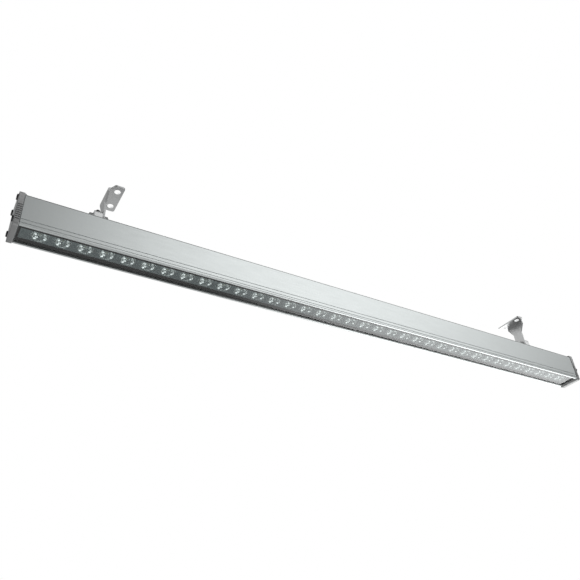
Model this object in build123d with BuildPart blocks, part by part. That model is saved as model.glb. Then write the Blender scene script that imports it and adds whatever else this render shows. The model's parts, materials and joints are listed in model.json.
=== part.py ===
from build123d import *
import os

# Linear LED wall washer, hung from two tilting brackets. All sizes are in millimetres.
# X runs along the lamp and X = 0 is its middle. Z = 0 is the mounting plane, against the top of
# the bracket flanges, with +Z pointing into the ceiling. The brackets pivot about the line
# through Y = 0 at the height pivot_z. "left" is the -X end.

# ---- Driving dimensions: housing extrusion ----
body_length = 985.0
body_width = 38.5
body_height = 45.5
body_corner = 0.8
wall = 1.8
web_thickness = 2.0
lip_width = 2.9
ledge_thickness = 1.6
groove_width = 0.9
groove_depth = 0.7
groove_heights = (3.25, 8.35)
slot_opening = 8.2
slot_lip = 2.0
slot_width = 15.0
slot_height = 4.2
port_radius = 3.0
port_overlap = 0.9

# ---- Front glass, the black border on its back and its seal ----
glass_recess = 2.0
glass_thickness = 2.5
border_thickness = 0.2
border_side = 6.4
border_end = 2.6
seal_width = 0.6
ledge_hold = 1.4

# ---- Light engine: three boards with one row of lenses ----
board_count = 3
leds_per_board = 12
end_margin = 12.5
board_gap = 0.5
board_width = 26.0
board_thickness = 1.6
chip_size = 3.4
chip_height = 0.7
dome_radius = 1.3
lens_radius = 9.9
lens_rim = 1.5
lens_base_radius = 4.8
lens_bore_radius = 2.4
lens_bore_depth = 3.4
lens_bore_dome = 0.8
holder_radius = 10.3
holder_wall = 1.1
holder_height = 8.35
lens_gap = 0.3
screw_rows = 2
board_screw_offset = 9.5
board_screw_head = 5.0
board_screw_head_height = 1.8
board_screw_shank = 2.9
small_edge = 0.4
link_length = 8.0
link_width = 4.0
link_height = 2.2
link_offset = 10.5

# ---- Driver in the upper chamber ----
tray_length = 560.0
tray_width = 33.0
tray_wall = 1.0
tray_side = 9.0
driver_length = 540.0
driver_width = 29.0
driver_thickness = 1.6
standoff_height = 3.0
standoff_radius = 2.5
standoffs_per_row = 4
room_above = 2.5
transformer_x = 45.0
transformer_length = 26.0
transformer_width = 19.0
transformer_window = 15.6
window_depth = 2.4
winding_edge = 1.1
chokes_from_end = (75.6, 101.6)
choke_length = 13.0
choke_width = 11.0
choke_lower = 2.0
choke_edge = 2.2
output_capacitor_from_end = 54.0
capacitor_x = (-65.0, 92.0)
capacitor_length = 22.0
component_edge = 0.6
mosfet_x = (-128.0, -20.0, 88.0)
mosfet_length = 10.0
mosfet_width = 4.6
mosfet_lower = 2.6
terminal_length = 15.0
terminal_width = 18.0
terminal_lower = 0.9
terminal_pitch = 6.0
terminal_screw = 3.6
wire_radius = 0.9
wire_spacing = 3.2
wire_hole = 7.0

# ---- End caps ----
cap_thickness = 6.5
cap_side_stand = 0.6
cap_top_stand = 3.4
cap_bottom_stand = 1.8
cap_corner = 3.0
cap_edge = 0.6
cap_lip = 2.1
cap_lip_edge = 1.2
gasket_thickness = 1.0
gasket_inset = 0.4
rib_groove = 1.3
rib_groove_depth = 0.9
rib_pitch = 3.1
rib_count = 8
rib_middle = -5.0
cap_screw_size = 3.9
cap_screw_head = 7.6
cap_screw_head_height = 1.8
cap_screw_grip = 14.0
cross_recess_depth = 1.1
cross_recess_length = 3.6
cross_recess_width = 0.9

# ---- Cable gland in the right cap ----
gland_thread = 15.6
gland_across_flats = 20.0
gland_hex_height = 5.0
gland_barrel = 13.6
gland_barrel_length = 9.0
gland_bore = 10.0
gland_nut_across_flats = 19.0
gland_nut_length = 14.0
gland_nut_edge = 1.35
gland_mouth = 9.0
cable_bore = 7.2
seal_length = 8.0

# ---- Brackets ----
bracket_left_inset = 93.2
bracket_right_inset = 105.5
plate = 2.5
leg_width = 18.0
bend_width = 34.0
flare_height = 14.0
flange_depth = 20.8
flange_length = 49.0
flange_cut = 4.0
flange_corner = 3.0
bend_radius = 4.0
flange_hole = 8.0
flange_hole_spacing = 29.5
flange_hole_inset = 13.3
pivot_drop = 44.0
pivot_above_body = 12.0

# ---- Sliding shoes and pivots ----
shoe_length = 33.5
shoe_width = 24.0
shoe_thickness = 4.0
knuckle_width = 17.0
knuckle_rise = 8.6
knuckle_corner = 5.6
knuckle_depth = 10.4
t_nut_length = 20.0
t_nut_height = 3.4
tongue_depth = 1.8
clamp_offset = 26.0
clamp_size = 4.9
clamp_head = 8.5
clamp_head_height = 4.0
hex_socket = 3.0
socket_edge = 0.7
lock_offset = 5.0
lock_size = 4.9
lock_head = 5.4
lock_head_height = 5.0
pivot_size = 6.0
pivot_across_flats = 10.0
pivot_head_height = 4.0
pivot_nut_height = 4.0
pivot_thread_end = 0.8
pivot_edge = 0.6
washer_thickness = 1.4
washer_radius = 5.9

# ---- Clearances ----
fit = 0.05
hole_play = 0.25
slide_gap = 0.1
turn_gap = 0.15
side_play = 0.3

# ---- Levels and places worked out from the sizes ----
pivot_z = -pivot_drop
body_top = pivot_z - pivot_above_body
knuckle_top = pivot_z + knuckle_rise
body_bottom = body_top - body_height
body_middle = (body_top + body_bottom) / 2
inner_width = body_width - 2 * wall
pocket_width = body_width - 2 * lip_width
rail_bottom = body_top - slot_lip - slot_height - wall
glass_face = body_bottom + glass_recess
glass_back = glass_face + glass_thickness
glass_width = pocket_width - 2 * seal_width
ledge_seat = glass_back + border_thickness
ledge_top = ledge_seat + ledge_thickness
lens_front = ledge_seat + lens_gap
board_face = lens_front + lens_rim + holder_height
web_bottom = board_face + board_thickness
web_top = web_bottom + web_thickness
port_y = body_width / 2 - wall - port_radius + port_overlap
port_top_z = body_top - wall - port_radius + port_overlap
port_low_z = ledge_top + port_radius - port_overlap
port_places = [(y, z) for y in (-port_y, port_y) for z in (port_low_z, port_top_z)]
led_pitch = (body_length - 2 * end_margin) / (board_count * leds_per_board)
board_pitch = leds_per_board * led_pitch
board_centres = [(i - (board_count - 1) / 2) * board_pitch for i in range(board_count)]
lens_places = [(i - (leds_per_board - 1) / 2) * led_pitch for i in range(leds_per_board)]
screw_spacing = leds_per_board / screw_rows * led_pitch
body_end = body_length / 2
cap_inner = body_end + gasket_thickness
cap_outer = cap_inner + cap_thickness
chamber_middle = (web_top + rail_bottom) / 2
tray_floor = web_top + tray_wall
driver_bottom = tray_floor + standoff_height
driver_top = driver_bottom + driver_thickness
component_room = rail_bottom - driver_top - room_above

os.makedirs("parts", exist_ok=True)


def save(part, name):
    """Label a finished piece and write it to its own file."""
    part.label = name
    export_step(part, f"parts/{name}.step")


# ---- Housing: one extrusion with a driver chamber, a web, an open front and a T-slot ----
with BuildPart() as housing:
    with BuildSketch(Plane.YZ) as section:
        with Locations((0, body_middle)):
            RectangleRounded(body_width, body_height, body_corner)
        chamber_height = body_top - wall - web_top
        with Locations((0, web_top)):
            Rectangle(inner_width, chamber_height, align=(Align.CENTER, Align.MIN), mode=Mode.SUBTRACT)
        rail_width = slot_width + 2 * wall
        with Locations((0, body_top)):
            Rectangle(rail_width, body_top - rail_bottom, align=(Align.CENTER, Align.MAX))
            Rectangle(slot_opening, 2 * slot_lip, mode=Mode.SUBTRACT)
        with Locations((0, body_top - slot_lip)):
            Rectangle(slot_width, slot_height, align=(Align.CENTER, Align.MAX), mode=Mode.SUBTRACT)
        with Locations((0, ledge_top)):
            optic_height = web_bottom - ledge_top
            Rectangle(inner_width, optic_height, align=(Align.CENTER, Align.MIN), mode=Mode.SUBTRACT)
        with Locations((0, ledge_seat)):
            ledge_opening = glass_width - 2 * ledge_hold
            Rectangle(ledge_opening, 2 * ledge_thickness, mode=Mode.SUBTRACT)
            Rectangle(pocket_width, body_height, align=(Align.CENTER, Align.MAX), mode=Mode.SUBTRACT)
        with Locations(*port_places):
            Circle(port_radius)
        with Locations(*port_places):
            Circle(cap_screw_size / 2 + fit, mode=Mode.SUBTRACT)
        for height in groove_heights:
            with Locations((0, body_bottom + height)):
                with GridLocations(body_width, 0, 2, 1):
                    Rectangle(2 * groove_depth, groove_width, mode=Mode.SUBTRACT)
    extrude(amount=body_length / 2, both=True)
    with BuildSketch(Plane.XY.offset(web_bottom)):
        for centre in board_centres:
            with Locations((centre, 0)):
                with GridLocations(screw_spacing, 2 * board_screw_offset, screw_rows, 2):
                    Circle(board_screw_shank / 2 + fit)
        Circle(wire_hole / 2)
    extrude(amount=web_thickness, mode=Mode.SUBTRACT)
save(housing.part, "housing_extrusion")

# ---- Front glass, its black border and the silicone bead round its edge ----
with BuildPart() as front_glass:
    with BuildSketch(Plane.XY.offset(glass_face)):
        Rectangle(body_length - 2 * seal_width, glass_width)
    extrude(amount=glass_thickness)
save(front_glass.part, "front_glass")

with BuildPart() as glass_border:
    with BuildSketch(Plane.XY.offset(glass_back)):
        Rectangle(body_length - 2 * seal_width, glass_width)
        window_length = body_length - 2 * seal_width - 2 * border_end
        Rectangle(window_length, glass_width - 2 * border_side, mode=Mode.SUBTRACT)
    extrude(amount=border_thickness)
save(glass_border.part, "glass_border")

with BuildPart() as glass_seal:
    with BuildSketch(Plane.XY.offset(glass_face)):
        Rectangle(body_length, pocket_width)
        Rectangle(body_length - 2 * seal_width, glass_width, mode=Mode.SUBTRACT)
    extrude(amount=glass_thickness)
save(glass_seal.part, "glass_seal")


# ---- Light engine ----
def led_board(name, centre):
    """One aluminium-core board, screwed up against the web."""
    with BuildPart() as board:
        with BuildSketch(Plane.XY.offset(board_face)):
            with Locations((centre, 0)):
                Rectangle(board_pitch - board_gap, board_width)
                with GridLocations(screw_spacing, 2 * board_screw_offset, screw_rows, 2):
                    Circle(board_screw_shank / 2 + hole_play, mode=Mode.SUBTRACT)
        extrude(amount=board_thickness)
    save(board.part, name)


def led_chips(name, centre):
    """A row of LED packages, each a square body with a clear dome that faces the glass."""
    with BuildPart() as chips:
        with BuildSketch(Plane.XY.offset(board_face - chip_height)):
            with Locations(*[(centre + x, 0) for x in lens_places]):
                Rectangle(chip_size, chip_size)
        extrude(amount=chip_height)
        with Locations(*[(centre + x, 0, board_face - chip_height) for x in lens_places]):
            Sphere(dome_radius, arc_size1=-90, arc_size2=0, align=(Align.CENTER, Align.CENTER, Align.MAX))
    save(chips.part, name)


# Collimator lens: a rim at the glass, a tapered body and a domed bore over the LED.
rim_back = lens_front + lens_rim
lens_base = board_face - lens_gap
lens_body_radius = holder_radius - holder_wall - lens_gap
bore_end = lens_base - lens_bore_depth
with BuildPart() as lens:
    with BuildSketch(Plane.XZ):
        with BuildLine():
            Polyline(
                (0, bore_end),
                (0, lens_front),
                (lens_radius, lens_front),
                (lens_radius, rim_back),
                (lens_body_radius, rim_back),
            )
            bulge = (lens_base_radius + lens_body_radius) / 2 + lens_rim / 2
            ThreePointArc(
                (lens_body_radius, rim_back),
                (bulge, (rim_back + lens_base) / 2),
                (lens_base_radius, lens_base),
            )
            Polyline(
                (lens_base_radius, lens_base),
                (lens_bore_radius, lens_base),
                (lens_bore_radius, bore_end + lens_bore_dome),
            )
            TangentArc(
                (0, bore_end),
                (lens_bore_radius, bore_end + lens_bore_dome),
                tangent=(1, 0),
            )
        make_face()
    revolve(axis=Axis.Z)

with BuildPart() as lens_holder:
    with BuildSketch(Plane.XY.offset(board_face)):
        Circle(holder_radius)
        Circle(holder_radius - holder_wall, mode=Mode.SUBTRACT)
    extrude(amount=-holder_height)


def row_of(piece, name, centre):
    """Copies of one piece, one over each LED of a board."""
    with BuildPart() as row:
        with Locations(*[(centre + x, 0, 0) for x in lens_places]):
            add(piece)
    save(row.part, name)


for number, centre in enumerate(board_centres, start=1):
    led_board(f"led_board_{number}", centre)
    led_chips(f"led_chips_{number}", centre)
    row_of(lens.part, f"lens_row_{number}", centre)
    row_of(lens_holder.part, f"lens_holders_{number}", centre)

with BuildPart() as board_screw:
    with BuildSketch(Plane.XY.offset(board_face)):
        Circle(board_screw_head / 2)
    extrude(amount=-board_screw_head_height)
    chamfer(board_screw.faces().sort_by(Axis.Z)[0].edges(), small_edge)
    with BuildSketch(Plane.XY.offset(board_face)):
        Circle(board_screw_shank / 2)
    extrude(amount=board_thickness + web_thickness)

with BuildPart() as board_screws:
    for centre in board_centres:
        with Locations((centre, 0, 0)):
            with GridLocations(screw_spacing, 2 * board_screw_offset, screw_rows, 2):
                add(board_screw.part)
save(board_screws.part, "board_screws")

with BuildPart() as board_links:
    with BuildSketch(Plane.XY.offset(board_face)):
        joints = [(a + b) / 2 for a, b in zip(board_centres, board_centres[1:])]
        with Locations(*[(x, y) for x in joints for y in (-link_offset, link_offset)]):
            Rectangle(link_length, link_width)
    extrude(amount=-link_height)
    chamfer(board_links.faces().group_by(Axis.Z)[0].edges(), small_edge)
save(board_links.part, "board_links")

# ---- Driver: insulating tray, circuit board and its components ----
with BuildPart() as driver_tray:
    with BuildSketch(Plane.XY.offset(web_top)):
        Rectangle(tray_length, tray_width)
        Circle(wire_hole / 2, mode=Mode.SUBTRACT)
    extrude(amount=tray_wall)
    with BuildSketch(Plane.XY.offset(tray_floor)):
        with Locations((0, (tray_width - tray_wall) / 2), (0, (tray_wall - tray_width) / 2)):
            Rectangle(tray_length, tray_wall)
    extrude(amount=tray_side)
    with BuildSketch(Plane.XY.offset(tray_floor)):
        standoff_pitch = driver_length / standoffs_per_row
        with GridLocations(standoff_pitch, driver_width - 4 * standoff_radius, standoffs_per_row, 2):
            Circle(standoff_radius)
    extrude(amount=standoff_height)
save(driver_tray.part, "driver_tray")

with BuildPart() as driver_board:
    with BuildSketch(Plane.XY.offset(driver_bottom)):
        Rectangle(driver_length, driver_width)
    extrude(amount=driver_thickness)
save(driver_board.part, "driver_board")

with BuildPart() as transformer:
    with BuildSketch(Plane.XY.offset(driver_top)):
        with Locations((transformer_x, 0)):
            Rectangle(transformer_length, transformer_width)
    extrude(amount=component_room)
    fillet(transformer.edges().filter_by(Axis.Z), winding_edge)
    with BuildSketch(Plane.XZ.offset(transformer_width / 2)):
        with Locations((transformer_x, driver_top + component_room / 2)):
            Rectangle(transformer_window, component_room / 2)
    extrude(amount=-window_depth, mode=Mode.SUBTRACT)
save(transformer.part, "driver_transformer")

with BuildPart() as chokes:
    with BuildSketch(Plane.XY.offset(driver_top)):
        with Locations(*[(driver_length / 2 - distance, 0) for distance in chokes_from_end]):
            Rectangle(choke_length, choke_width)
    extrude(amount=component_room - choke_lower)
    fillet(chokes.edges().filter_by(Axis.Z), choke_edge)
save(chokes.part, "driver_chokes")

capacitor_radius = component_room / 2
with BuildPart() as capacitors:
    for x in (output_capacitor_from_end - driver_length / 2, *capacitor_x):
        with BuildSketch(Plane.YZ.offset(x)):
            with Locations((0, driver_top + capacitor_radius)):
                Circle(capacitor_radius)
        extrude(amount=capacitor_length)
    fillet(capacitors.edges().filter_by(GeomType.CIRCLE), component_edge)
save(capacitors.part, "driver_capacitors")

with BuildPart() as mosfets:
    with BuildSketch(Plane.XY.offset(driver_top)):
        with Locations(*[(x, driver_width / 2 - mosfet_width) for x in mosfet_x]):
            Rectangle(mosfet_length, mosfet_width)
    extrude(amount=component_room - mosfet_lower)
    chamfer(mosfets.faces().group_by(Axis.Z)[-1].edges(), component_edge)
save(mosfets.part, "driver_mosfets")

terminal_x = driver_length / 2 - terminal_length
terminal_height = component_room - terminal_lower
with BuildPart() as terminal_block:
    with BuildSketch(Plane.XY.offset(driver_top)):
        with Locations((terminal_x, 0)):
            Rectangle(terminal_length, terminal_width)
    extrude(amount=terminal_height)
    with BuildSketch(Plane.XY.offset(driver_top + terminal_height)):
        with Locations((terminal_x, 0)):
            with GridLocations(0, terminal_pitch, 1, 3):
                Circle(terminal_screw / 2)
    extrude(amount=-terminal_screw, mode=Mode.SUBTRACT)
    with BuildSketch(Plane.YZ.offset(terminal_x + terminal_length / 2)):
        with Locations((0, driver_top + terminal_screw)):
            with GridLocations(terminal_pitch, 0, 3, 1):
                Rectangle(terminal_screw, terminal_screw)
    extrude(amount=-terminal_length / 2, mode=Mode.SUBTRACT)
save(terminal_block.part, "terminal_block")

with BuildPart() as feed_wires:
    with BuildSketch(Plane.XY.offset(web_bottom)):
        with Locations((0, -wire_spacing / 2), (0, wire_spacing / 2)):
            Circle(wire_radius)
    extrude(amount=driver_bottom - web_bottom)
save(feed_wires.part, "led_feed_wires")


# ---- End caps, gaskets and their screws ----
def end_plane(side, distance):
    """Plane across the lamp at an end, with its normal pointing out of the lamp."""
    return Plane(origin=(side * distance, 0, 0), x_dir=(0, 1, 0), z_dir=(side, 0, 0))


def across(side, y, z):
    """A point (y, z) of the lamp's section, in the coordinates of end_plane."""
    return (y, side * z)


def end_gasket(name, side, with_gland):
    with BuildPart() as gasket:
        with BuildSketch(end_plane(side, body_end)):
            with Locations(across(side, 0, body_middle)):
                Rectangle(body_width - 2 * gasket_inset, body_height - 2 * gasket_inset)
            with Locations(*[across(side, y, z) for y, z in port_places]):
                Circle(cap_screw_size / 2 + hole_play, mode=Mode.SUBTRACT)
            with Locations(across(side, 0, body_bottom + glass_recess / 2)):
                Rectangle(pocket_width, glass_recess, mode=Mode.SUBTRACT)
            if with_gland:
                with Locations(across(side, 0, chamber_middle)):
                    Circle(gland_thread / 2 + hole_play, mode=Mode.SUBTRACT)
        extrude(amount=gasket_thickness)
    save(gasket.part, name)


def end_cap(name, side, with_gland):
    cap_height = body_height + cap_top_stand + cap_bottom_stand
    cap_middle = body_middle + (cap_top_stand - cap_bottom_stand) / 2
    cap_width = body_width + 2 * cap_side_stand
    with BuildPart() as cap:
        with BuildSketch(end_plane(side, cap_inner)):
            with Locations(across(side, 0, cap_middle)):
                RectangleRounded(cap_width, cap_height, cap_corner)
        extrude(amount=cap_thickness)
        outer_face = cap.faces().sort_by(Axis.X)[-1 if side > 0 else 0]
        chamfer(outer_face.edges(), cap_edge)
        lip_height = cap_top_stand - slide_gap
        with BuildSketch(end_plane(side, cap_inner)):
            with Locations(across(side, 0, body_top + slide_gap + lip_height / 2)):
                Rectangle(cap_width - 2 * cap_corner, lip_height)
        extrude(amount=-cap_lip)
        lip_edges = cap.edges().filter_by(Axis.Y).group_by(Axis.Z)[-1]
        fillet(lip_edges.sort_by(Axis.X)[0 if side > 0 else -1], cap_lip_edge)
        with BuildSketch(end_plane(side, cap_inner)):
            with Locations(across(side, 0, body_middle + rib_middle)):
                with GridLocations(cap_width, rib_pitch, 2, rib_count):
                    Rectangle(2 * rib_groove_depth, rib_groove)
        extrude(amount=cap_thickness, mode=Mode.SUBTRACT)
        with BuildSketch(end_plane(side, cap_inner)):
            with Locations(*[across(side, y, z) for y, z in port_places]):
                Circle(cap_screw_size / 2 + hole_play)
            if with_gland:
                with Locations(across(side, 0, chamber_middle)):
                    Circle(gland_thread / 2 + fit)
        extrude(amount=cap_thickness, mode=Mode.SUBTRACT)
    save(cap.part, name)


def cap_screws(name, side):
    with BuildPart() as screws:
        with BuildSketch(end_plane(side, cap_outer)):
            with Locations(*[across(side, y, z) for y, z in port_places]):
                Circle(cap_screw_head / 2)
        extrude(amount=cap_screw_head_height)
        tops = screws.faces().group_by(Axis.X)[-1 if side > 0 else 0]
        fillet(tops.edges(), cap_screw_head_height / 2)
        with BuildSketch(end_plane(side, cap_outer + cap_screw_head_height)):
            with Locations(*[across(side, y, z) for y, z in port_places]):
                Rectangle(cross_recess_length, cross_recess_width)
                Rectangle(cross_recess_width, cross_recess_length)
        extrude(amount=-cross_recess_depth, mode=Mode.SUBTRACT)
        with BuildSketch(end_plane(side, cap_outer)):
            with Locations(*[across(side, y, z) for y, z in port_places]):
                Circle(cap_screw_size / 2)
        extrude(amount=-(cap_thickness + gasket_thickness + cap_screw_grip))
    save(screws.part, name)


for side, end_name in ((-1, "left"), (1, "right")):
    end_gasket(f"end_gasket_{end_name}", side, with_gland=side > 0)
    end_cap(f"end_cap_{end_name}", side, with_gland=side > 0)
    cap_screws(f"end_cap_screws_{end_name}", side)

# ---- Cable gland: body, clamping nut and rubber seal ----
gland_seat = cap_outer + gland_hex_height
with BuildPart() as gland_body:
    with BuildSketch(end_plane(1, cap_outer)):
        with Locations((0, chamber_middle)):
            RegularPolygon(gland_across_flats / 2, 6, major_radius=False)
    extrude(amount=gland_hex_height)
    with BuildSketch(end_plane(1, cap_outer)):
        with Locations((0, chamber_middle)):
            Circle(gland_thread / 2)
    extrude(amount=-(cap_thickness + gasket_thickness))
    with BuildSketch(end_plane(1, gland_seat)):
        with Locations((0, chamber_middle)):
            Circle(gland_barrel / 2)
    extrude(amount=gland_barrel_length)
    with BuildSketch(end_plane(1, body_end)):
        with Locations((0, chamber_middle)):
            Circle(gland_bore / 2)
    extrude(amount=gland_seat + gland_barrel_length - body_end, mode=Mode.SUBTRACT)
save(gland_body.part, "gland_body")

with BuildPart() as gland_nut:
    with BuildSketch(end_plane(1, gland_seat)):
        with Locations((0, chamber_middle)):
            RegularPolygon(gland_nut_across_flats / 2, 6, major_radius=False)
    extrude(amount=gland_nut_length)
    rim = gland_nut.faces().sort_by(Axis.X)[-1]
    chamfer(rim.edges(), gland_nut_edge)
    with BuildSketch(end_plane(1, gland_seat)):
        with Locations((0, chamber_middle)):
            Circle(gland_barrel / 2 + fit)
    extrude(amount=gland_barrel_length + fit, mode=Mode.SUBTRACT)
    with BuildSketch(end_plane(1, gland_seat)):
        with Locations((0, chamber_middle)):
            Circle(gland_mouth / 2)
    extrude(amount=gland_nut_length, mode=Mode.SUBTRACT)
save(gland_nut.part, "gland_nut")

with BuildPart() as gland_seal:
    with BuildSketch(end_plane(1, gland_seat + gland_barrel_length)):
        with Locations((0, chamber_middle)):
            Circle(gland_bore / 2 - fit)
            Circle(cable_bore / 2, mode=Mode.SUBTRACT)
    extrude(amount=-seal_length)
save(gland_seal.part, "gland_seal")


# ---- Brackets, shoes and pivots ----
def upright(side, arm_x, offset):
    """Plane across the lamp, offset outwards from a bracket arm's outer face."""
    return end_plane(side, arm_x + offset)


def bracket(name, side, arm_x):
    """One bent strip: a leg with the pivot hole and a flange with two screw holes."""
    flare_top = -plate - bend_radius
    flare_bottom = flare_top - flare_height
    outline = [
        (leg_width / 2, pivot_z),
        (leg_width / 2, flare_bottom),
        (bend_width / 2, flare_top),
        (bend_width / 2, 0),
        (-bend_width / 2, 0),
        (-bend_width / 2, flare_top),
        (-leg_width / 2, flare_bottom),
        (-leg_width / 2, pivot_z),
    ]
    face_x = side * arm_x
    curve_x = side * (arm_x - bend_radius)
    cut_x = side * (arm_x - bend_radius - flange_cut)
    tip_x = side * (arm_x - flange_depth)
    with BuildPart() as strip:
        with BuildSketch(upright(side, arm_x, 0)):
            with BuildLine():
                Polyline(*[across(side, y, z) for y, z in outline])
                ThreePointArc(
                    across(side, -leg_width / 2, pivot_z),
                    across(side, 0, pivot_z - leg_width / 2),
                    across(side, leg_width / 2, pivot_z),
                )
            make_face()
            with Locations(across(side, 0, pivot_z)):
                Circle(pivot_size / 2 + fit, mode=Mode.SUBTRACT)
        extrude(amount=-plate)
        with BuildSketch(Plane.XY.offset(-plate)) as flange:
            with BuildLine():
                Polyline(
                    (face_x, -bend_width / 2),
                    (curve_x, -bend_width / 2),
                    (cut_x, -flange_length / 2),
                    (tip_x, -flange_length / 2),
                    (tip_x, flange_length / 2),
                    (cut_x, flange_length / 2),
                    (curve_x, bend_width / 2),
                    (face_x, bend_width / 2),
                    close=True,
                )
            make_face()
            ends = flange.vertices().filter_by(lambda v: abs(v.X - face_x) > bend_radius + fit)
            fillet(ends, flange_corner)
            hole_x = side * (arm_x - flange_hole_inset)
            with Locations((hole_x, -flange_hole_spacing / 2), (hole_x, flange_hole_spacing / 2)):
                Circle(flange_hole / 2, mode=Mode.SUBTRACT)
        extrude(amount=plate)
        bend = strip.edges().filter_by(Axis.Y).filter_by(lambda e: abs(e.center().X - face_x) < fit)
        fillet(bend.sort_by(Axis.Z)[-1], bend_radius)
    save(strip.part, name)


def shoe(name, side, arm_x):
    """Sliding foot with a tongue in the rail's slot and a knuckle for the pivot bolt."""
    foot = body_top + slide_gap
    with BuildPart() as block:
        with BuildSketch(upright(side, arm_x, turn_gap)):
            with Locations(across(side, 0, (knuckle_top + foot) / 2)):
                Rectangle(knuckle_width, knuckle_top - foot)
        extrude(amount=knuckle_depth)
        fillet(block.edges().filter_by(Axis.X).group_by(Axis.Z)[-1], knuckle_corner)
        with BuildSketch(upright(side, arm_x, turn_gap)):
            with Locations(across(side, 0, foot + shoe_thickness / 2)):
                Rectangle(shoe_width, shoe_thickness)
            with Locations(across(side, 0, foot - tongue_depth / 2)):
                Rectangle(slot_opening - 2 * side_play, tongue_depth)
        extrude(amount=shoe_length)
        uprights = block.edges().filter_by(Axis.Z)
        corners = uprights.filter_by(lambda e: abs(abs(e.center().Y) - shoe_width / 2) < fit)
        fillet(corners, shoe_thickness / 2)
        with BuildSketch(upright(side, arm_x, turn_gap)):
            with Locations(across(side, 0, pivot_z)):
                Circle(pivot_size / 2 + fit)
        extrude(amount=knuckle_depth, mode=Mode.SUBTRACT)
        with BuildSketch(Plane.XY.offset(pivot_z)):
            with Locations((side * (arm_x + lock_offset), 0)):
                Circle(lock_size / 2 + fit)
        extrude(amount=2 * knuckle_rise, mode=Mode.SUBTRACT)
        with BuildSketch(Plane.XY.offset(body_top - slot_lip)):
            with Locations((side * (arm_x + clamp_offset), 0)):
                Circle(clamp_size / 2 + hole_play)
        extrude(amount=slot_lip + 2 * shoe_thickness, mode=Mode.SUBTRACT)
    save(block.part, name)


def slot_nut(name, side, arm_x):
    """Flat nut that hangs in the T-slot and is pulled up against its lips."""
    nut_top = body_top - slot_lip - slide_gap
    with BuildPart() as nut:
        with BuildSketch(Plane.XY.offset(nut_top)):
            with Locations((side * (arm_x + clamp_offset), 0)):
                RectangleRounded(t_nut_length, slot_width - 2 * side_play, plate / 2)
                Circle(clamp_size / 2 + fit, mode=Mode.SUBTRACT)
        extrude(amount=-t_nut_height)
    save(nut.part, name)


def socket_screw(name, x, size, head, head_height, seat, tip):
    """Upright screw with a round head on its seat and a hexagon socket, down to its tip."""
    with BuildPart() as screw:
        with BuildSketch(Plane.XY.offset(seat)):
            with Locations((x, 0)):
                Circle(head / 2)
        extrude(amount=head_height)
        fillet(screw.faces().sort_by(Axis.Z)[-1].edges(), socket_edge)
        with BuildSketch(Plane.XY.offset(seat + head_height)):
            with Locations((x, 0)):
                RegularPolygon(hex_socket / 2, 6)
        extrude(amount=-head_height / 2, mode=Mode.SUBTRACT)
        with BuildSketch(Plane.XY.offset(seat)):
            with Locations((x, 0)):
                Circle(size / 2)
        extrude(amount=tip - seat)
    save(screw.part, name)


def pivot_bolt(name, side, arm_x):
    """Hexagon bolt through knuckle and arm, with its head on the outside."""
    head_seat = turn_gap + knuckle_depth + washer_thickness
    nut_end = plate + turn_gap + washer_thickness + pivot_nut_height
    with BuildPart() as bolt:
        with BuildSketch(upright(side, arm_x, head_seat)):
            with Locations(across(side, 0, pivot_z)):
                RegularPolygon(pivot_across_flats / 2, 6, major_radius=False)
        extrude(amount=pivot_head_height)
        chamfer(bolt.faces().sort_by(Axis.X)[-1 if side > 0 else 0].edges(), pivot_edge)
        with BuildSketch(upright(side, arm_x, head_seat)):
            with Locations(across(side, 0, pivot_z)):
                Circle(pivot_size / 2)
        extrude(amount=-(head_seat + nut_end + pivot_thread_end))
    save(bolt.part, name)


def pivot_rings(name, side, arm_x):
    """The two washers: under the bolt head and under the nut."""
    with BuildPart() as rings:
        for seat in (turn_gap + knuckle_depth, -(plate + turn_gap + washer_thickness)):
            with BuildSketch(upright(side, arm_x, seat)):
                with Locations(across(side, 0, pivot_z)):
                    Circle(washer_radius)
                    Circle(pivot_size / 2 + fit, mode=Mode.SUBTRACT)
            extrude(amount=washer_thickness)
    save(rings.part, name)


def pivot_nut(name, side, arm_x):
    """Hexagon nut on the inside of the arm."""
    with BuildPart() as nut:
        with BuildSketch(upright(side, arm_x, -(plate + turn_gap + washer_thickness))):
            with Locations(across(side, 0, pivot_z)):
                RegularPolygon(pivot_across_flats / 2, 6, major_radius=False)
        extrude(amount=-pivot_nut_height)
        chamfer(nut.faces().sort_by(Axis.X)[0 if side > 0 else -1].edges(), pivot_edge)
        with BuildSketch(upright(side, arm_x, 0)):
            with Locations(across(side, 0, pivot_z)):
                Circle(pivot_size / 2 + fit)
        extrude(amount=-leg_width, mode=Mode.SUBTRACT)
    save(nut.part, name)


for side, end_name, inset in ((-1, "left", bracket_left_inset), (1, "right", bracket_right_inset)):
    arm_x = body_end - inset
    bracket(f"bracket_{end_name}", side, arm_x)
    shoe(f"shoe_{end_name}", side, arm_x)
    slot_nut(f"slot_nut_{end_name}", side, arm_x)
    clamp_x = side * (arm_x + clamp_offset)
    clamp_seat = body_top + slide_gap + shoe_thickness
    clamp_tip = body_top - slot_lip - slide_gap - t_nut_height
    clamp_sizes = (clamp_size, clamp_head, clamp_head_height)
    socket_screw(f"clamp_screw_{end_name}", clamp_x, *clamp_sizes, clamp_seat, clamp_tip)
    lock_x = side * (arm_x + lock_offset)
    lock_tip = pivot_z + pivot_size / 2 + fit
    lock_seat = knuckle_top
    lock_sizes = (lock_size, lock_head, lock_head_height)
    socket_screw(f"lock_screw_{end_name}", lock_x, *lock_sizes, lock_seat, lock_tip)
    pivot_bolt(f"pivot_bolt_{end_name}", side, arm_x)
    pivot_rings(f"pivot_washers_{end_name}", side, arm_x)
    pivot_nut(f"pivot_nut_{end_name}", side, arm_x)
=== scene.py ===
import json
import math

import bmesh
import bpy
from mathutils import Matrix, Vector


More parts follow.
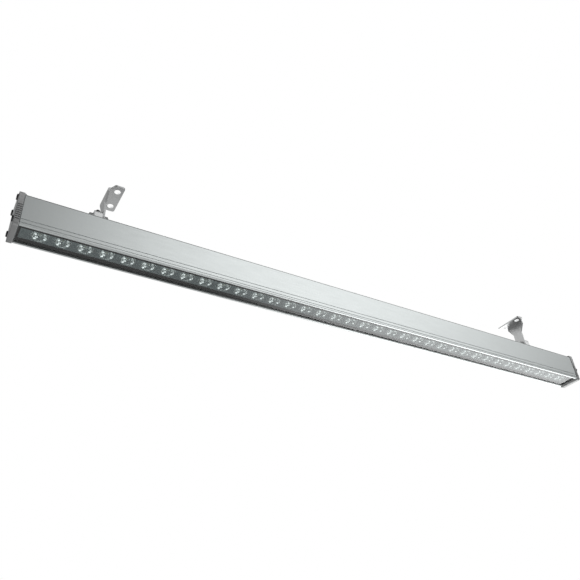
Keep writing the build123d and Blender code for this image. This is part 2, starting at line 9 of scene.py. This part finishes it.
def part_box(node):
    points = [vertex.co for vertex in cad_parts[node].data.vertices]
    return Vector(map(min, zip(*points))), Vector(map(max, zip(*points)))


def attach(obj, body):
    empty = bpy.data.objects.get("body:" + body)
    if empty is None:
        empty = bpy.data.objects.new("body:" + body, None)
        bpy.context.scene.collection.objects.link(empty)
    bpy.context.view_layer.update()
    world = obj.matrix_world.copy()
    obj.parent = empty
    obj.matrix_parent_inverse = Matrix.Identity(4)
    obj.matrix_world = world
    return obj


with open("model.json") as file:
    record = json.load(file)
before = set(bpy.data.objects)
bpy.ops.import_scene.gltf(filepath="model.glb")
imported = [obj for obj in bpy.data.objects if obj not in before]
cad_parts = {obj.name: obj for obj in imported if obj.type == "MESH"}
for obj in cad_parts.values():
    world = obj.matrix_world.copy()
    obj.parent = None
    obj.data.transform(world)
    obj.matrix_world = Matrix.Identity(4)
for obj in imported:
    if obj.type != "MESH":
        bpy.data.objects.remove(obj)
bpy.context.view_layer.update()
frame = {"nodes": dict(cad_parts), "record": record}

# Looks of the linear wall washer. Everything is in metres, in the same frame as the CAD:
# X along the lamp, Z = 0 at the mounting plane, the glass faces -Z.

BOARD_LENGTH = 0.32
LENSES_PER_BOARD = 12
LENS_PITCH = BOARD_LENGTH / LENSES_PER_BOARD
BOARD_COUNT = 3
LENS_RADIUS = 0.0099
FLANGE_HOLES_X = (-0.386, 0.3737)
FLANGE_HOLE_Y = 0.01475
FLANGE_HOLE_RADIUS = 0.004
LIP_DEPTH = 0.002
LIP_HALF_OPENING = 0.0165
# Where the lens chamber's walls start and end above the body's lower edge, and half its width.
CHAMBER_LEVELS = (0.0043, 0.0166)
CHAMBER_HALF_WIDTH = 0.0176
# The painted shade line along the top edges fades in over these distances below the top.
TOP_SHADE_FADE = (0.0019, 0.0011)
# Half the fade at the border between two looks of one piece.
SOFT = 0.0001

# ---- Camera, at the photograph's viewing angle ----
CAMERA_PLACE = Vector((-0.5364, -0.6216, -0.5878))
CAMERA_RIGHT = Vector((0.85458, -0.51428, -0.07214))
CAMERA_UP = Vector((-0.24324, -0.51911, 0.81936))
CAMERA_LENS = 38.69
SENSOR_WIDTH = 36.0
CLIP_NEAR = 0.01
CLIP_FAR = 50.0


def make_camera():
    data = bpy.data.cameras.new("camera")
    data.lens = CAMERA_LENS
    data.sensor_width = SENSOR_WIDTH
    data.clip_start = CLIP_NEAR
    data.clip_end = CLIP_FAR
    camera = bpy.data.objects.new("camera", data)
    bpy.context.scene.collection.objects.link(camera)
    right = CAMERA_RIGHT.normalized()
    back = right.cross(CAMERA_UP).normalized()
    up = back.cross(right)
    turn = Matrix((right, up, back)).transposed()
    camera.matrix_world = Matrix.Translation(CAMERA_PLACE) @ turn.to_4x4()
    bpy.context.scene.camera = camera


make_camera()
bpy.context.scene.view_settings.view_transform = "Standard"


# ---- Node helpers ----
class Tree:
    """Adds nodes to a node tree in few words."""

    def __init__(self, tree):
        self.tree = tree
        tree.nodes.clear()

    def node(self, kind, inputs=None, **settings):
        made = self.tree.nodes.new(kind)
        for key, value in settings.items():
            setattr(made, key, value)
        for key, value in (inputs or {}).items():
            if isinstance(value, bpy.types.NodeSocket):
                self.tree.links.new(value, made.inputs[key])
            else:
                made.inputs[key].default_value = value
        return made

    def math(self, operation, a, b=0.0, clamp=False):
        return self.node(
            "ShaderNodeMath", {0: a, 1: b}, operation=operation, use_clamp=clamp
        ).outputs[0]

    def ramp(self, value, low, high, to_low=0.0, to_high=1.0, smooth=False):
        kind = "SMOOTHSTEP" if smooth else "LINEAR"
        inputs = {"Value": value, 1: low, 2: high, 3: to_low, 4: to_high}
        return self.node("ShaderNodeMapRange", inputs, interpolation_type=kind).outputs[0]

    def noise(self, place, scale, detail=3.0, rough=0.5):
        inputs = {"Vector": place, "Scale": scale, "Detail": detail, "Roughness": rough}
        return self.node("ShaderNodeTexNoise", inputs).outputs["Fac"]

    def stretched(self, place, scale):
        return self.node("ShaderNodeMapping", {"Vector": place, "Scale": scale}).outputs[0]

    def mix(self, share, a, b):
        made = self.node("ShaderNodeMix", data_type="RGBA", blend_type="MIX")
        for index, value in ((0, share), (6, a), (7, b)):
            if isinstance(value, bpy.types.NodeSocket):
                self.tree.links.new(value, made.inputs[index])
            else:
                made.inputs[index].default_value = value
        return made.outputs[2]


def grey(value, tint=(1.0, 1.0, 1.0)):
    return (value * tint[0], value * tint[1], value * tint[2], 1.0)


# ---- Studio: world, floor and lights ----
# Each soft light of the world: direction, cosine where it starts, cosine where it is full, strength.
WORLD_BASE = 0.24
WORLD_COLOUR = (0.985, 1.0, 1.0, 1.0)
WORLD_LIGHTS = (
    ((0.485, -0.675, 0.56), 0.892, 0.99, 1.62),
    ((0.0, 0.0, -1.0), 0.0, 0.75, 0.50),
    ((0.75, 0.49, -0.43), 0.88, 0.985, 2.6),
    ((-0.747, 0.494, 0.445), 0.88, 0.99, 0.95),
)


def make_world():
    world = bpy.data.worlds.new("studio")
    world.use_nodes = True
    t = Tree(world.node_tree)
    direction = t.node("ShaderNodeTexCoord").outputs["Generated"]
    total = WORLD_BASE
    for towards, start, full, strength in WORLD_LIGHTS:
        unit = Vector(towards).normalized()
        dot = t.node(
            "ShaderNodeVectorMath", {0: direction, 1: unit}, operation="DOT_PRODUCT"
        ).outputs["Value"]
        part = t.ramp(dot, start, full, 0.0, strength, smooth=True)
        total = t.math("ADD", total, part)
    lit = t.node("ShaderNodeBackground", {"Color": WORLD_COLOUR, "Strength": total})
    white = t.node("ShaderNodeBackground", {"Color": (1.0, 1.0, 1.0, 1.0), "Strength": 1.0})
    seen = t.node("ShaderNodeLightPath").outputs["Is Camera Ray"]
    both = t.node("ShaderNodeMixShader", {0: seen, 1: lit.outputs[0], 2: white.outputs[0]})
    t.node("ShaderNodeOutputWorld", {"Surface": both.outputs[0]})
    bpy.context.scene.world = world


def area_light(name, place, target, size, power):
    data = bpy.data.lights.new(name, "AREA")
    data.shape = "DISK"
    data.size = size
    data.energy = power
    light = bpy.data.objects.new(name, data)
    bpy.context.scene.collection.objects.link(light)
    aim = Vector(target) - Vector(place)
    turn = aim.to_track_quat("-Z", "Y").to_matrix().to_4x4()
    light.matrix_world = Matrix.Translation(place) @ turn
    light.visible_camera = False
    light.visible_glossy = False


FLOOR_RIM = 9.0
FLOOR_LEVEL = -1.75


def make_floor():
    mesh = bpy.data.meshes.new("floor")
    signs = ((-1, -1), (1, -1), (1, 1), (-1, 1))
    corners = [(x * FLOOR_RIM, y * FLOOR_RIM, FLOOR_LEVEL) for x, y in signs]
    mesh.from_pydata(corners, [], [(0, 1, 2, 3)])
    floor = bpy.data.objects.new("floor", mesh)
    bpy.context.scene.collection.objects.link(floor)
    material = bpy.data.materials.new("floor_paint")
    material.use_nodes = True
    t = Tree(material.node_tree)
    place = t.node("ShaderNodeTexCoord").outputs["Object"]
    colour = t.mix(t.noise(place, 1.5), grey(0.86), grey(0.9))
    shader = t.node("ShaderNodeBsdfPrincipled", {"Base Color": colour, "Roughness": 0.7})
    t.node("ShaderNodeOutputMaterial", {"Surface": shader.outputs[0]})
    mesh.materials.append(material)
    floor.visible_glossy = False


LIGHT_TARGET = (0.0, 0.0, -0.08)

make_world()
make_floor()
area_light("key", (1.3, -2.3, 1.2), LIGHT_TARGET, 1.2, 20.0)
area_light("back", (-1.0, 2.4, 1.4), LIGHT_TARGET, 1.4, 14.0)


# ---- Materials ----
def start_material(name):
    material = bpy.data.materials.new(name)
    material.use_nodes = True
    tree = Tree(material.node_tree)
    return material, tree, tree.node("ShaderNodeTexCoord").outputs["Object"]


def end_material(tree, inputs, height=None, distance=0.0001, strength=0.4):
    if height is not None:
        bump = {"Height": height, "Distance": distance, "Strength": strength}
        inputs = dict(inputs, Normal=tree.node("ShaderNodeBump", bump).outputs[0])
    shader = tree.node("ShaderNodeBsdfPrincipled", inputs)
    tree.node("ShaderNodeOutputMaterial", {"Surface": shader.outputs[0]})


# Scale of the finest grain on metals, and the share of it that is added to the bump.
SPECK_SCALE = 2600.0
SPECK_SHARE = 0.5
# Pointiness where the wear of an edge starts, and where it is full.
WEAR_EDGE = (0.52, 0.62)


def edge_wear(tree, low, high):
    """From 0 on flat faces to 1 on outer edges."""
    pointed = tree.node("ShaderNodeNewGeometry").outputs["Pointiness"]
    return tree.ramp(pointed, low, high)


def brushed_grain(tree, place, roughness, stretch, grain):
    """Fine drawn lines with specks. Gives the lines, the roughness and the height."""
    lines = tree.noise(tree.stretched(place, stretch), grain, 4.0, 0.6)
    speck = tree.noise(place, SPECK_SCALE, 2.0, 0.5)
    rough = tree.ramp(lines, 0.3, 0.7, roughness * 0.88, roughness * 1.12)
    rough = tree.math("ADD", rough, tree.ramp(speck, 0.3, 0.7, -0.03, 0.03), clamp=True)
    height = tree.math("ADD", lines, tree.math("MULTIPLY", speck, SPECK_SHARE))
    return lines, rough, height


def metal(name, colour, roughness, stretch=(1, 1, 1), grain=900.0, bump=0.00002, vary=0.08,
          metallic=1.0, wear=0.25, tint=(1.0, 1.0, 1.0)):
    """Satin, cast or plated metal. The lines run along the axis with the low number in stretch."""
    material, t, place = start_material(name)
    lines, rough, height = brushed_grain(t, place, roughness, stretch, grain)
    cloud = t.noise(place, 14.0, 3.0, 0.55)
    dark = grey(colour * (1.0 - vary), tint)
    light = grey(colour * (1.0 + vary), tint)
    base = t.mix(cloud, dark, light)
    base = t.mix(t.ramp(lines, 0.35, 0.65, 0.0, 0.5), base, light)
    edge = t.math("MULTIPLY", edge_wear(t, *WEAR_EDGE), wear)
    base = t.mix(edge, base, grey(min(1.0, colour * 1.35), tint))
    end_material(t, {"Base Color": base, "Roughness": rough, "Metallic": metallic}, height, bump)
    return material


def band(tree, value, low, high, soft):
    """1 where value lies between low and high, falling to 0 over the distance soft on each side."""
    rising = tree.ramp(value, low - soft, low)
    falling = tree.ramp(value, high, high + soft, 1.0, 0.0)
    return tree.math("MULTIPLY", rising, falling)


# A little light of their own stands in for the light that passes the glass; the board's dark colour
# also serves as painted shade on the lens chamber's walls.
BOARD_COLOUR_AND_CHAMBER_SHADE = (0.105, 0.135, 0.14, 1.0)
CHAMBER_GLOW = 0.3
# Painted light on the walls of the flange's screw holes: a glow and a pale grey.
HOLE_GLOW = 0.3
HOLE_PAINTED_LIGHT_GREY = 0.95
# Painted light on the lips' inner walls: a glow and a pale grey.
LIP_GLOW = 0.3
LIP_PAINTED_LIGHT_GREY = 0.92
# The painted light on the lips' inner walls grows paler between these places along the lamp.
LIP_LIGHT_FADE = (-0.3, 0.3)
# Painted shade along the top edges: its share and its grey.
TOP_SHADE = 0.68
TOP_SHADE_GREY = 0.04


def housing_metal(name, colour, roughness, tint):
    """Anodised extrusion with drawing lines along X.

    Painted shade and light: board-coloured, matt and glowing within the lens chamber, pale, matt and
    glowing within the lips, and a soft painted shade line along the top edges.
    """
    low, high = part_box("housing_extrusion")
    material, t, place = start_material(name)
    parts = t.node("ShaderNodeSeparateXYZ", {0: place}).outputs
    level = parts[2]
    across = t.math("ABSOLUTE", parts[1])
    lines, rough, height = brushed_grain(t, place, roughness, (0.02, 1, 1), 1500.0)
    cloud = t.noise(t.stretched(place, (0.3, 1, 1)), 18.0, 3.0, 0.55)
    base = t.mix(cloud, grey(colour * 0.955, tint), grey(colour * 1.045, tint))
    base = t.mix(t.ramp(lines, 0.35, 0.65, 0.0, 0.5), base, grey(colour * 1.06, tint))
    shade = t.ramp(level, high.z - TOP_SHADE_FADE[0], high.z - TOP_SHADE_FADE[1])
    base = t.mix(t.math("MULTIPLY", shade, TOP_SHADE), base, grey(TOP_SHADE_GREY, tint))
    # Painted shade with a painted glow: the lens chamber's walls take the board's dark colour and
    # glow a little.
    chamber_shade_and_glow = band(t, level, low.z + CHAMBER_LEVELS[0], low.z + CHAMBER_LEVELS[1], 2 * SOFT)
    side = t.ramp(across, CHAMBER_HALF_WIDTH, CHAMBER_HALF_WIDTH + 3 * SOFT, 1.0, 0.0)
    chamber_shade_and_glow = t.math("MULTIPLY", chamber_shade_and_glow, side)
    base = t.mix(chamber_shade_and_glow, base, BOARD_COLOUR_AND_CHAMBER_SHADE)
    # Painted light: the lips' inner walls turn pale and glow, more so towards +X.
    below = t.ramp(level, low.z + LIP_DEPTH + SOFT, low.z + LIP_DEPTH - SOFT)
    within = t.ramp(across, LIP_HALF_OPENING + SOFT, LIP_HALF_OPENING - SOFT)
    painted_lip_light = t.math("MULTIPLY", below, within)
    painted_lip_light = t.math("MULTIPLY", painted_lip_light, t.ramp(parts[0], *LIP_LIGHT_FADE))
    base = t.mix(painted_lip_light, base, grey(LIP_PAINTED_LIGHT_GREY, tint))
    matt = t.math("MAXIMUM", chamber_shade_and_glow, painted_lip_light)
    chamber_glow = t.math("MULTIPLY", chamber_shade_and_glow, CHAMBER_GLOW)
    lip_glow = t.math("MULTIPLY", painted_lip_light, LIP_GLOW)
    inputs = {
        "Base Color": base,
        "Roughness": rough,
        "Metallic": t.ramp(matt, 0.0, 1.0, 1.0, 0.05),
        "Emission Color": base,
        "Emission Strength": t.math("ADD", chamber_glow, lip_glow),
    }
    end_material(t, inputs, height, 0.000012)
    return material


def bracket_metal(name, colour, roughness):
    """Brushed strip with grain along Z. The walls of the flange's screw holes get painted light: pale
    and glowing.
    """
    material, t, place = start_material(name)
    parts = t.node("ShaderNodeSeparateXYZ", {0: place}).outputs
    lines, rough, height = brushed_grain(t, place, roughness, (1, 0.3, 0.08), 1300.0)
    cloud = t.noise(place, 14.0, 3.0, 0.55)
    base = t.mix(cloud, grey(colour * 0.94), grey(colour * 1.06))
    base = t.mix(t.ramp(lines, 0.35, 0.65, 0.0, 0.5), base, grey(colour * 1.06))
    edge = t.math("MULTIPLY", edge_wear(t, *WEAR_EDGE), 0.3)
    base = t.mix(edge, base, grey(min(1.0, colour * 1.35)))
    across = t.math("SUBTRACT", t.math("ABSOLUTE", parts[1]), FLANGE_HOLE_Y)
    walls = 0.0
    for hole_x in FLANGE_HOLES_X:
        along = t.math("SUBTRACT", parts[0], hole_x)
        squares = t.math("ADD", t.math("MULTIPLY", along, along), t.math("MULTIPLY", across, across))
        rim = FLANGE_HOLE_RADIUS + SOFT
        near = t.ramp(t.math("SQRT", squares), rim + SOFT, rim)
        walls = t.math("MAXIMUM", walls, near)
    # Painted light: the screw-hole walls turn pale and glow.
    base = t.mix(walls, base, grey(HOLE_PAINTED_LIGHT_GREY))
    inputs = {
        "Base Color": base,
        "Roughness": rough,
        "Metallic": t.ramp(walls, 0.0, 1.0, 1.0, 0.1),
        "Emission Color": base,
        "Emission Strength": t.math("MULTIPLY", walls, HOLE_GLOW),
    }
    end_material(t, inputs, height, 0.000015)
    return material


# Height above the body's lower edge where the painted light on the cap starts, paler towards the top.
CAP_LIGHT_FROM = 0.018
# The cap's inner walls lie within this distance of the body's end and of its lower edge.
CAP_INNER_DEPTH = 0.0012
CAP_INNER_HEIGHT = 0.0023
# Painted light on the cap's inner walls: a pale grey.
CAP_INNER_PAINTED_LIGHT_GREY = 0.75


def cap_metal(name, colour, roughness):
    """Cast end cap with painted light: paler towards the top, and its inner walls below the glass
    pale and matt.
    """
    low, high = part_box("housing_extrusion")
    material, t, place = start_material(name)
    parts = t.node("ShaderNodeSeparateXYZ", {0: place}).outputs
    cloud = t.noise(place, 60.0, 4.0, 0.6)
    speck = t.noise(place, 1500.0, 3.0, 0.6)
    base = t.mix(cloud, grey(colour * 0.88), grey(colour * 1.12))
    base = t.mix(t.ramp(speck, 0.4, 0.7, 0.0, 0.4), base, grey(colour * 1.2))
    # Painted light: the cap turns paler towards the top.
    painted_top_light = t.ramp(parts[2], low.z + CAP_LIGHT_FROM, high.z, smooth=True)
    base = t.mix(painted_top_light, base, grey(min(1.0, colour * 1.7)))
    edge = t.math("MULTIPLY", edge_wear(t, *WEAR_EDGE), 0.4)
    base = t.mix(edge, base, grey(min(1.0, colour * 1.6)))
    # Painted light: the cap's inner walls below the glass turn pale and mostly not metallic.
    inner_end = high.x + CAP_INNER_DEPTH
    inner = t.ramp(t.math("ABSOLUTE", parts[0]), inner_end - SOFT, inner_end + SOFT, 1.0, 0.0)
    inner_top = low.z + CAP_INNER_HEIGHT
    inner = t.math("MULTIPLY", inner, t.ramp(parts[2], inner_top + SOFT, inner_top - SOFT))
    base = t.mix(inner, base, grey(CAP_INNER_PAINTED_LIGHT_GREY))
    metallic = t.ramp(inner, 0.0, 1.0, 0.9, 0.2)
    rough = t.ramp(speck, 0.3, 0.7, roughness * 0.85, roughness * 1.15)
    end_material(t, {"Base Color": base, "Roughness": rough, "Metallic": metallic}, speck, 0.00004)
    return material


def plastic(name, colour, roughness, grain=1800.0, bump=0.00002, vary=0.08, sheen=0.5, glow=0.0):
    """Moulded plastic, rubber or paint with a fine grain."""
    material, t, place = start_material(name)
    cloud = t.noise(place, 30.0, 3.0, 0.5)
    speck = t.noise(place, grain, 3.0, 0.6)
    dark = [c * (1.0 - vary) for c in colour] + [1.0]
    light = [min(1.0, c * (1.0 + vary)) for c in colour] + [1.0]
    base = t.mix(cloud, dark, light)
    base = t.mix(t.ramp(speck, 0.4, 0.7, 0.0, 0.35), base, light)
    edge = edge_wear(t, 0.53, 0.65)
    worn = [min(1.0, c * 1.3 + 0.02) for c in colour] + [1.0]
    base = t.mix(t.math("MULTIPLY", edge, 0.3), base, worn)
    rough = t.ramp(speck, 0.3, 0.7, roughness * 0.85, roughness * 1.15)
    inputs = {"Base Color": base, "Roughness": rough, "Specular IOR Level": sheen}
    if glow:
        inputs.update({"Emission Color": base, "Emission Strength": glow})
    end_material(t, inputs, speck, bump)
    return material


def lens_radius_of(tree, place):
    """Distance from the axis of the nearest lens, in metres."""
    parts = tree.node("ShaderNodeSeparateXYZ", {0: place}).outputs
    shifted = tree.math("DIVIDE", parts[0], LENS_PITCH)
    from_axis = tree.math("SUBTRACT", tree.math("FRACT", shifted), 0.5)
    x = tree.math("MULTIPLY", from_axis, LENS_PITCH)
    squares = tree.math("ADD", tree.math("MULTIPLY", x, x), tree.math("MULTIPLY", parts[1], parts[1]))
    return tree.math("SQRT", squares)


LENS_RING_PITCH = 0.0011
LENS_RING_SHARE = 0.3


def clear(name, colour, roughness, ior, rings=False):
    """Glass or clear acrylic."""
    material, t, place = start_material(name)
    cloud = t.noise(place, 40.0, 2.0, 0.5)
    shade = [c * 0.97 for c in colour[:3]] + [1.0]
    base = t.mix(cloud, shade, colour)
    rough = t.ramp(t.noise(place, 300.0), 0.4, 0.7, roughness, roughness * 1.6)
    height = t.noise(place, 90.0, 1.0)
    if rings:
        radius = lens_radius_of(t, place)
        wave = t.math("SINE", t.math("MULTIPLY", radius, 2 * math.pi / LENS_RING_PITCH))
        height = t.math("ADD", height, t.math("MULTIPLY", wave, LENS_RING_SHARE))
    inputs = {
        "Base Color": base,
        "Roughness": rough,
        "Transmission Weight": 1.0,
        "IOR": ior,
    }
    end_material(t, inputs, height, 0.00002, 0.3)
    return material


def painted_glint(name, colour, roughness, glow):
    """Painted highlights: bright polished dots with a little light of their own that stands in for
    the lamps mirrored in the lenses.
    """
    material, t, place = start_material(name)
    cloud = t.noise(place, 700.0, 2.0, 0.5)
    speck = t.noise(place, 3000.0, 2.0, 0.5)
    base = t.mix(cloud, [c * 0.95 for c in colour] + [1.0], list(colour) + [1.0])
    inputs = {
        "Base Color": base,
        "Roughness": t.ramp(speck, 0.3, 0.7, roughness * 0.8, roughness * 1.2),
        "Emission Color": base,
        "Emission Strength": t.ramp(cloud, 0.3, 0.7, glow * 0.9, glow * 1.1),
    }
    end_material(t, inputs, speck, 0.00001)
    return material


def circuit(name, colour, track, glow=0.0):
    """Solder mask with faint copper tracks under it."""
    material, t, place = start_material(name)
    cloud = t.noise(place, 20.0)
    brick = t.node(
        "ShaderNodeTexBrick",
        {
            "Vector": place,
            "Scale": 90.0,
            "Mortar Size": 0.03,
            "Color1": colour,
            "Color2": [c * 0.9 for c in colour[:3]] + [1.0],
            "Mortar": track,
        },
    ).outputs["Color"]
    base = t.mix(t.ramp(cloud, 0.3, 0.7, 0.25, 0.6), brick, colour)
    speck = t.noise(place, 2200.0)
    rough = t.ramp(speck, 0.3, 0.7, 0.34, 0.46)
    inputs = {"Base Color": base, "Roughness": rough}
    if glow:
        inputs.update({"Emission Color": base, "Emission Strength": glow})
    end_material(t, inputs, speck, 0.00001)
    return material


COOL = (0.965, 1.0, 0.995)
LOOKS = {
    "anodised_body": housing_metal("anodised", 0.60, 0.37, COOL),
    "cap_casting": cap_metal("casting", 0.30, 0.5),
    "bracket_metal": bracket_metal("bracket", 0.50, 0.42),
    "shoe_metal": metal("shoe", 0.66, 0.36, (1, 0.2, 1), 1200.0, 0.00002, 0.06, wear=0.4),
    "pivot_steel": metal("zinc", 0.52, 0.28, (1, 1, 1), 700.0, 0.00001, 0.10, wear=0.5),
    "dark_screws": metal("black_oxide", 0.045, 0.36, (1, 1, 1), 900.0, 0.00002, 0.25, 0.9, 0.8),
    "bright_screws": metal("bright_screws", 0.6, 0.25, (1, 1, 1), 900.0, 0.00001, 0.08),
    "front_glass": clear("glass", (0.93, 0.98, 0.965, 1.0), 0.01, 1.5),
    "lens_clear": clear("acrylic", (0.80, 0.84, 0.84, 1.0), 0.05, 1.49, rings=True),
    "border_ink": plastic("border_ink", (0.012, 0.013, 0.013), 0.3),
    "lens_glints": painted_glint("lens_glints", (0.95, 0.97, 0.97), 0.16, 0.85),
    "silicone": plastic("silicone", (0.12, 0.125, 0.125), 0.45),
    "gasket_rubber": plastic("rubber", (0.2, 0.21, 0.21), 0.6),
    # Painted light: the holders and the LED board glow a little, standing in for the light that
    # passes the glass.
    "holder_plastic": plastic("holder", (0.105, 0.135, 0.14), 0.4, glow=CHAMBER_GLOW),
    "led_board": circuit("led_board", BOARD_COLOUR_AND_CHAMBER_SHADE, (0.14, 0.17, 0.175, 1.0), CHAMBER_GLOW),
    "led_package": plastic("led_package", (0.85, 0.78, 0.42), 0.3),
    "white_plastic": plastic("white_plastic", (0.82, 0.82, 0.8), 0.35),
    "tray_plastic": plastic("tray_plastic", (0.7, 0.7, 0.66), 0.3),
    "circuit_board": circuit("circuit_board", (0.02, 0.13, 0.05, 1.0), (0.05, 0.22, 0.1, 1.0)),
    "transformer_black": plastic("transformer", (0.03, 0.03, 0.03), 0.4),
    "capacitor_sleeve": plastic("sleeve", (0.015, 0.025, 0.09), 0.25),
    "wire_sleeve": plastic("wire", (0.45, 0.02, 0.015), 0.35),
    "gland_nylon": plastic("nylon", (0.03, 0.03, 0.032), 0.5),
}


for part in frame["record"]["subparts"]:
    mesh = frame["nodes"][part["node"]].data
    mesh.materials.clear()
    mesh.materials.append(LOOKS[part["material_slot"]])


# ---- Lens details: painted highlights, three small glowing posts and a round ridge in the face of each lens ----
def new_piece(name, build, look, body):
    """Makes a mesh piece with bmesh, gives it a look and lets it ride on a body."""
    mesh = bpy.data.meshes.new(name)
    work = bmesh.new()
    build(work)
    work.to_mesh(mesh)
    work.free()
    mesh.materials.append(LOOKS[look])
    for polygon in mesh.polygons:
        polygon.use_smooth = True
    piece = bpy.data.objects.new(name, mesh)
    bpy.context.scene.collection.objects.link(piece)
    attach(piece, body)


def turned(work, centre, profile, segments):
    """Adds a solid of revolution about a Z line through centre.

    profile is (radius, height) pairs, from axis to axis or back to its first pair.
    """
    rings = []
    for radius, height in profile:
        if radius == 0:
            rings.append([work.verts.new((centre[0], centre[1], height))])
            continue
        ring = []
        for step in range(segments):
            turn = 2 * math.pi * step / segments
            x = centre[0] + radius * math.cos(turn)
            y = centre[1] + radius * math.sin(turn)
            ring.append(work.verts.new((x, y, height)))
        rings.append(ring)
    if profile[0] == profile[-1]:
        for vertex in rings.pop():
            work.verts.remove(vertex)
        rings.append(rings[0])
    for low, high in zip(rings, rings[1:]):
        for step in range(segments):
            after = (step + 1) % segments
            if len(low) == 1:
                work.faces.new((low[0], high[after], high[step]))
            elif len(high) == 1:
                work.faces.new((low[step], low[after], high[0]))
            else:
                work.faces.new((low[step], low[after], high[after], high[step]))


# How far behind the lens front the painted-highlight posts and ridge start, in metres like the rest.
GLINT_INSET = 0.00008
# Share of the post's radius, and depth behind its tip.
GLINT_DOT_PROFILE = ((0.6, 0.0001), (0.9, 0.0003), (1.0, 0.0006), (1.0, 0.0013))
GLINT_DOT_SIDES = 14
GLINT_RING_SHOULDER = 0.0004
GLINT_RING_DEPTH = 0.0009
GLINT_RING_SIDES = 20
# Centre (X, Y) from the lens axis, and radius.
GLINT_DOT_PLACES = ((-0.0052, -0.0039, 0.0013), (-0.0048, 0.0045, 0.0015), (0.0062, 0.0026, 0.0014))
GLINT_RING_PLACE = (-0.0034, 0.0009)
GLINT_RING_RADII = (0.0009, 0.0016)


def lens_painted_glints(board):
    low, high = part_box(f"lens_row_{board}")
    front = low.z + GLINT_INSET
    first = low.x + LENS_RADIUS

    def build(work):
        for index in range(LENSES_PER_BOARD):
            x = first + index * LENS_PITCH
            for dx, dy, radius in GLINT_DOT_PLACES:
                profile = [(0.0, front)]
                profile += [(radius * share, front + depth) for share, depth in GLINT_DOT_PROFILE]
                profile += [(0.0, front + GLINT_DOT_PROFILE[-1][1])]
                turned(work, (x + dx, dy), profile, GLINT_DOT_SIDES)
            inner, outer = GLINT_RING_RADII
            middle = (inner + outer) / 2
            shoulder = front + GLINT_RING_SHOULDER
            back = front + GLINT_RING_DEPTH
            glint_ring = (
                (inner, shoulder),
                (middle, front),
                (outer, shoulder),
                (outer, back),
                (inner, back),
                (inner, shoulder),
            )
            turned(work, (x + GLINT_RING_PLACE[0], GLINT_RING_PLACE[1]), glint_ring, GLINT_RING_SIDES)

    new_piece(f"lens_painted_glints_{board}", build, "lens_glints", "lamp")


for number in range(1, BOARD_COUNT + 1):
    lens_painted_glints(number)
